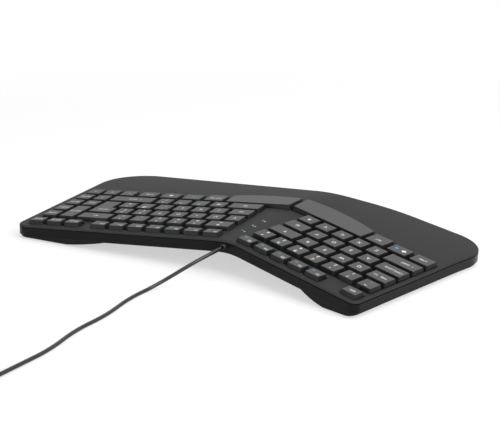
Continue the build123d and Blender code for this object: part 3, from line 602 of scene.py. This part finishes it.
# Rows by their distance towards the user; on a row, a key's middle by its distance inward on its half
ROWS = {"function": -20.8, "numbers": 0.0, "upper": 19.0, "home": 38.0, "lower": 57.0, "bottom": 76.0}
LETTERS = {
    "left_upper_letter_keys": ("upper", {"Q": 34.7, "W": 53.7, "E": 72.7, "R": 91.7, "T": 117.1}),
    "left_home_letter_keys": ("home", {"A": 40.5, "S": 59.5, "D": 78.5, "F": 97.5, "G": 120.0}),
    "left_lower_letter_keys": ("lower", {"Z": 46.75, "X": 65.75, "C": 84.75, "V": 103.75, "B": 123.1}),
    "right_upper_letter_keys": ("upper", {"P": 45.1, "O": 64.1, "I": 83.1, "U": 102.1, "Y": 121.1}),
    "right_home_letter_keys": ("home", {"L": 57.9, "K": 76.9, "J": 95.9, "H": 118.35}),
    "right_lower_letter_keys": ("lower", {"M": 86.3, "N": 113.65}),
}
PAIRS = {
    "left_number_keys": ("numbers", {
        "`¬": 9.5, "1!": 28.5, "2\"": 47.5, "3£": 66.5, "4$": 85.5, "5%": 104.5, "6^": 123.5}),
    "right_number_keys": ("numbers", {
        "=+": 16.0, "-_": 35.0, "0)": 54.0, "9(": 73.0, "8*": 92.0, "7&": 115.35}),
    "right_upper_letter_keys": ("upper", {"]}": 7.1, "[{": 26.1}),
    "right_home_letter_keys": ("home", {"#~": 0.9, "'@": 19.9, ";:": 38.9}),
    "right_lower_letter_keys": ("lower", {"/?": 29.3, ".>": 48.3, ",<": 67.3}),
}
FUNCTIONS = {
    "f1_to_f5_keys": {
        "F1": (48.0, "mute"), "F2": (67.0, "softer"), "F3": (86.0, "louder"),
        "F4": (105.0, "play"), "F5": (124.0, "previous")},
    "f6_to_f12_keys": {
        "F6": (118.8, "next"), "F7": (100.0, "find"), "F8": (81.2, "home"), "F9": (62.4, "mail"),
        "F10": (43.6, "sums"), "F11": (24.8, "dimmer"), "F12": (6.0, "brighter")},
}
WORDS = {
    "escape_key": ("function", "ESC", 9.5), "tab_key": ("upper", "TAB", 9.0),
    "caps_lock_key": ("home", "CAPS LOCK", 14.0), "left_shift_key": ("lower", "SHIFT", 16.0),
    "left_ctrl_key": ("bottom", "CTRL", 11.95), "left_alt_key": ("bottom", "ALT", 59.75),
    "home_key": ("numbers", "HOME", -58.6),
    "insert_key": ("upper", "INSERT", -58.6), "page_up_key": ("home", "PG UP", -58.6),
    "end_key": ("home", "END", -39.6), "right_shift_key": ("lower", "SHIFT", -5.25),
    "page_down_key": ("lower", "PG DN", -58.6), "right_ctrl_key": ("bottom", "CTRL", 1.85),
    "alt_gr_key": ("bottom", "ALT GR", 73.35),
}
SMALL_WORDS = {"PRT SC": -22.0, "SCR LK": -41.0, "PAUSE": -60.0}
TALL_KEY_WORDS = {
    "delete_key": ("numbers", "DELETE", -39.6, -9.5), "enter_key": ("upper", "ENTER", -16.0, -1.0),
}
ARROWS = {
    "arrow_right_key": ("bottom", "right", -58.6), "arrow_down_key": ("bottom", "down", -39.6),
    "arrow_left_key": ("bottom", "left", -20.6), "arrow_up_key": ("lower", "up", -39.6),
}
# The node, the row, the symbol, its distance inward, its size and whether it is blue
FURTHER_SYMBOLS = [
    ("backspace_key", "numbers", "left", -11.8, 5.5, False),
    ("tab_key", "upper", "tab", 17.5, 3.6, False),
    ("left_shift_key", "lower", "up", 8.5, 2.6, False),
    ("right_shift_key", "lower", "up", 3.5, 2.6, False),
    ("left_command_key", "bottom", "diamond", 32.0, 5.0, False),
    ("left_command_key", "bottom", "lock", 40.0, 4.2, True),
    ("menu_key", "bottom", "diamond", 25.85, 4.8, False),
]
FN_INWARD = 49.9
# Nodes of the left half whose names don't start with left
MORE_LEFT_NODES = {"escape_key", "tab_key", "caps_lock_key", "f1_to_f5_keys"}
prints = {}


def sheet(node):
    return prints.setdefault(node, Print())


def spot(node, row, inward, above=0.0):
    """A place on a row: the matrix of the node's half, and x and y on that half."""
    if node.startswith("left") or node in MORE_LEFT_NODES:
        return HALF["left"], inward, -ROWS[row] + above
    return HALF["right"], -inward, -ROWS[row] + above


for node, (row, keys) in LETTERS.items():
    for letter, inward in keys.items():
        sheet(node).word(letter, *spot(node, row, inward), LETTER)
for node, (row, keys) in PAIRS.items():
    for (plain, shifted), inward in keys.items():
        sheet(node).word(plain, *spot(node, row, inward, -DOUBLE_GAP), DIGIT)
        sheet(node).word(shifted, *spot(node, row, inward, DOUBLE_GAP), DIGIT)
for node, keys in FUNCTIONS.items():
    for label, (inward, symbol) in keys.items():
        half, x, y = spot(node, "function", inward)
        sheet(node).word(label, half, x - FUNCTION_ASIDE, y + FUNCTION_ABOVE, LABEL)
        sheet(node).symbol(
            symbol, half, x + FUNCTION_ASIDE, y - FUNCTION_ABOVE, FUNCTION_SYMBOL, blue=True)
for node, (row, text, inward) in WORDS.items():
    sheet(node).word(text, *spot(node, row, inward), WORD)
for node, (row, symbol, inward) in ARROWS.items():
    sheet(node).symbol(symbol, *spot(node, row, inward), ARROW)
for text, inward in SMALL_WORDS.items():
    sheet("print_scroll_pause_keys").word(
        text, *spot("print_scroll_pause_keys", "function", inward), SMALL_WORD)
for node, (row, text, inward, above) in TALL_KEY_WORDS.items():
    sheet(node).word(text, *spot(node, row, inward, above), WORD)
for node, row, symbol, inward, size, blue in FURTHER_SYMBOLS:
    sheet(node).symbol(symbol, *spot(node, row, inward), size, blue)
sheet("fn_key").word("FN", *spot("fn_key", "bottom", FN_INWARD), WORD, blue=True)
for node, marks in prints.items():
    marks.finish(f"{node}_print", f"{node}_slider")

# Status marks on the ridge, beside the three lenses, dropped onto the cover from above
STATUS_MARKS = {"1": (4.6, -20.4), "A": (4.8, -36.5), "down": (4.4, -52.2)}
ABOVE_COVER = 30.0


def print_status_marks():
    cover = nodes["top_cover"]
    to_cover = cover.matrix_world.inverted()
    down = to_cover.to_3x3() @ Vector((0, 0, -1))
    status = Print()
    for mark, (x, y) in STATUS_MARKS.items():
        start = to_cover @ (STAND @ Vector((x, y, ABOVE_COVER)))
        place, normal = cover.ray_cast(start, down)[1:3]
        upright = normal.to_track_quat("Z", "Y").to_matrix().to_4x4()
        seat = cover.matrix_world @ Matrix.Translation(place) @ upright @ Matrix.Scale(MM, 4)
        if mark in SYMBOLS:
            status.symbol(mark, seat, 0, 0, STATUS_ARROW)
        else:
            status.word(mark, seat, 0, 0, STATUS_LETTER)
    status.finish("status_print", "chassis")


print_status_marks()
bpy.data.objects.remove(text_object)

# Detail of the plug: grip ribs on the body, and the two windows of the shell drawn as dark patches of
# painted shade for their shaded inside
RIB = [(-0.55, 0.0), (-0.3, 0.22), (0.3, 0.22), (0.55, 0.0)]
RIB_HALF = 4.6
RIB_COUNT = 6
RIB_SPACING = 1.9
FIRST_RIB = -4.0
RIB_SUNK = 0.02
WINDOW_HALF_LENGTH = 1.2
WINDOW_HALF_WIDTH = 0.95
WINDOW_FORWARD = 0.8
WINDOW_ASIDE = 2.4
WINDOW_RISE = 0.02


def over(node):
    """A place on top of a piece of the plug, with x along the plug, in millimetres."""
    line = TAIL[-1] - TAIL[-2]
    turned = Matrix.Rotation(math.atan2(line.y, line.x), 4, "Z")
    corners = [node.matrix_world @ Vector(corner) for corner in node.bound_box]
    middle = sum(corners, Vector()) / len(corners)
    top = max(corner.z for corner in corners)
    return Matrix.Translation((middle.x, middle.y, top)) @ Matrix.Scale(MM, 4) @ turned


def detail(name, points, faces, material):
    mesh = bpy.data.meshes.new(name)
    mesh.from_pydata(points, [], faces)
    mesh.materials.append(material)
    made = bpy.data.objects.new(name, mesh)
    scene.collection.objects.link(made)
    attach(made, "chassis")
    return made


def plug_ribs():
    seat = over(nodes["plug_body"])
    count = len(RIB)
    points = []
    faces = []
    for i in range(RIB_COUNT):
        start = len(points)
        for y in (-RIB_HALF, RIB_HALF):
            points += [seat @ Vector((i * RIB_SPACING + FIRST_RIB + x, y, z - RIB_SUNK)) for x, z in RIB]
        for k in range(start, start + count - 1):
            faces.append((k, k + 1, k + 1 + count, k + count))
        faces.append(tuple(reversed(range(start, start + count))))
        faces.append(tuple(range(start + count, start + 2 * count)))
    return detail("plug_ribs", points, faces, MATERIALS["plug_plastic"])


# painted shade: the windows are flat dark patches that stand for the shaded inside of the openings
def plug_window_shade():
    seat = over(nodes["plug_shell"])
    shape = box_mark(-WINDOW_HALF_LENGTH, -WINDOW_HALF_WIDTH, WINDOW_HALF_LENGTH, WINDOW_HALF_WIDTH)
    points = [seat @ Vector((x + WINDOW_FORWARD, y + side * WINDOW_ASIDE, WINDOW_RISE))
              for side in (-1, 1) for x, y in shape]
    return detail("plug_window_shade", points, [(0, 1, 2, 3), (4, 5, 6, 7)], MATERIALS["chip_plastic"])


# Cord: the pieces that go with it, gathered in a list
cord_pieces = [nodes[name] for name in ("plug_body", "plug_shell", "plug_tongue", "cable_tie")]
cord_pieces += [plug_ribs(), plug_window_shade()]
